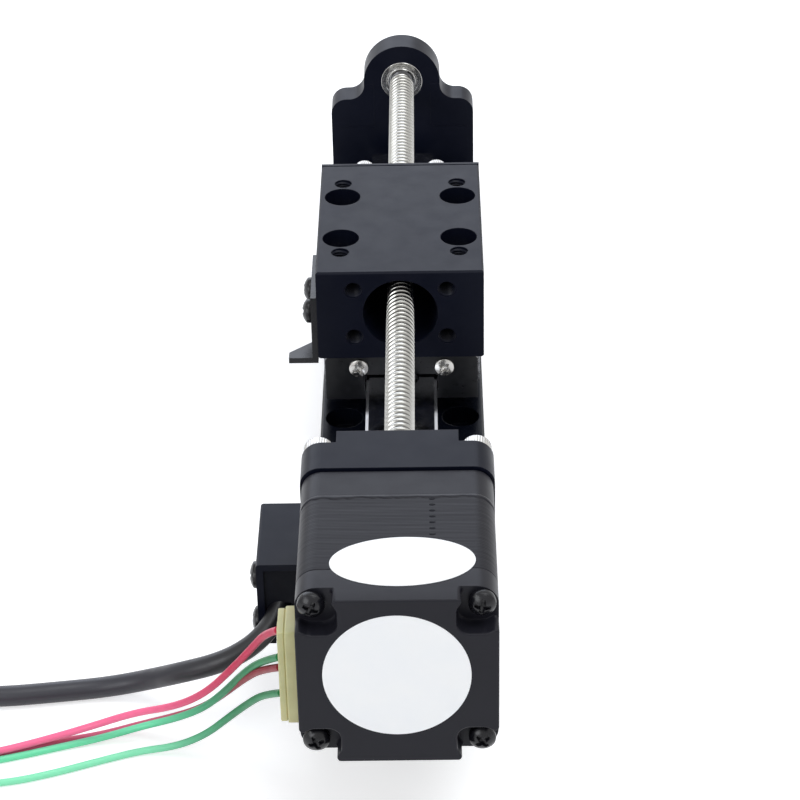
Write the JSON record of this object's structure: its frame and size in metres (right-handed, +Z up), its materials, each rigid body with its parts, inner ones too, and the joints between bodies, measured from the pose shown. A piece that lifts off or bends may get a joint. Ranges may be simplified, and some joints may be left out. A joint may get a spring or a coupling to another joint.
{
  "type": "lead screw linear actuator",
  "caption": "Screw-driven linear actuator: stepping motor, lead screw, rail-guided carriage, base plate, end bearing and limit sensor.",
  "frame": {"origin": "middle of the base plate's underside, which is the middle of its bolt holes", "axes": "+Z up out of the base, +Y along the travel away from the motor, +X to the right seen from the motor"},
  "size_m": [0.1188, 0.2039, 0.0437],
  "materials": {
    "black_anodised": "black anodised, satin",
    "rail_steel": "ground and polished",
    "bright_screws": "bright",
    "black_screws": "black oxide",
    "guide_steel": "ground",
    "end_cap_plastic": "moulded",
    "nut_plastic": "moulded",
    "screw_steel": "rolled thread",
    "motor_black": "black paint",
    "laminations": "stacked sheet",
    "magnet": "sintered",
    "copper_windings": "enamelled wire",
    "bearing_steel": "polished",
    "sensor_black": "black",
    "sensor_plastic": "moulded",
    "ivory_plastic": "moulded nylon",
    "cable_black": "soft jacket",
    "plug_black": "moulded",
    "lead_pink": "insulation",
    "lead_green": "insulation",
    "lead_dark_red": "insulation"
  },
  "bodies": {
    "root": {"base_plate": "black_anodised", "linear_rail": "rail_steel", "rail_screws": "bright_screws", "motor_rear_bell": "motor_black", "motor_front_bell": "motor_black", "stator_stack": "laminations", "stator_windings": "copper_windings", "motor_body_screws": "black_screws", "motor_rear_bearing_outer_ring": "bearing_steel", "motor_front_bearing_outer_ring": "bearing_steel", "end_bearing_outer_ring": "bearing_steel", "end_bearing_shields": "bearing_steel", "bearing_balls": "bearing_steel", "motor_mount_plate": "black_anodised", "motor_mounting_screws": "bright_screws", "mount_plate_screws": "black_screws", "end_bearing_plate": "black_anodised", "end_plate_screws": "black_screws", "sensor_bracket": "sensor_black", "sensor_body": "sensor_plastic", "sensor_screws": "black_screws", "motor_connector_header": "ivory_plastic", "motor_plug": "ivory_plastic", "sensor_cable": "cable_black", "sensor_cable_coil": "cable_black", "sensor_cable_plug": "plug_black", "motor_lead_1": "lead_pink", "motor_lead_2": "lead_green", "motor_lead_3": "lead_dark_red", "motor_lead_4": "lead_green", "motor_leads_coil": "lead_pink", "motor_leads_plug": "ivory_plastic"},
    "screw": {"lead_screw": "screw_steel", "rotor_cups": "laminations", "rotor_magnet": "magnet", "motor_rear_bearing_inner_ring": "bearing_steel", "motor_front_bearing_inner_ring": "bearing_steel", "end_bearing_inner_ring": "bearing_steel"},
    "carriage": {"guide_block": "guide_steel", "guide_end_caps": "end_cap_plastic", "end_cap_screws": "bright_screws", "carriage_block": "black_anodised", "carriage_screws": "bright_screws", "lead_nut": "nut_plastic", "nut_screws": "bright_screws", "sensor_flag": "sensor_black", "flag_screws": "black_screws"}
  },
  "joints": [
    {"name": "screw_spin", "type": "hinge", "parent": "root", "child": "screw", "pos_m": [0, 0, 0.0296], "axis": [0, 1, 0], "range_deg": [-12472.4, 15874]},
    {"name": "carriage_slide", "type": "slide", "parent": "root", "child": "carriage", "axis": [0, 1, 0], "range_m": [-0.0561, 0.0441]}
  ],
  "couplings": [
    {"joint": "carriage_slide", "follows": "screw_spin", "m_per_rad": -0.00020213}
  ]
}
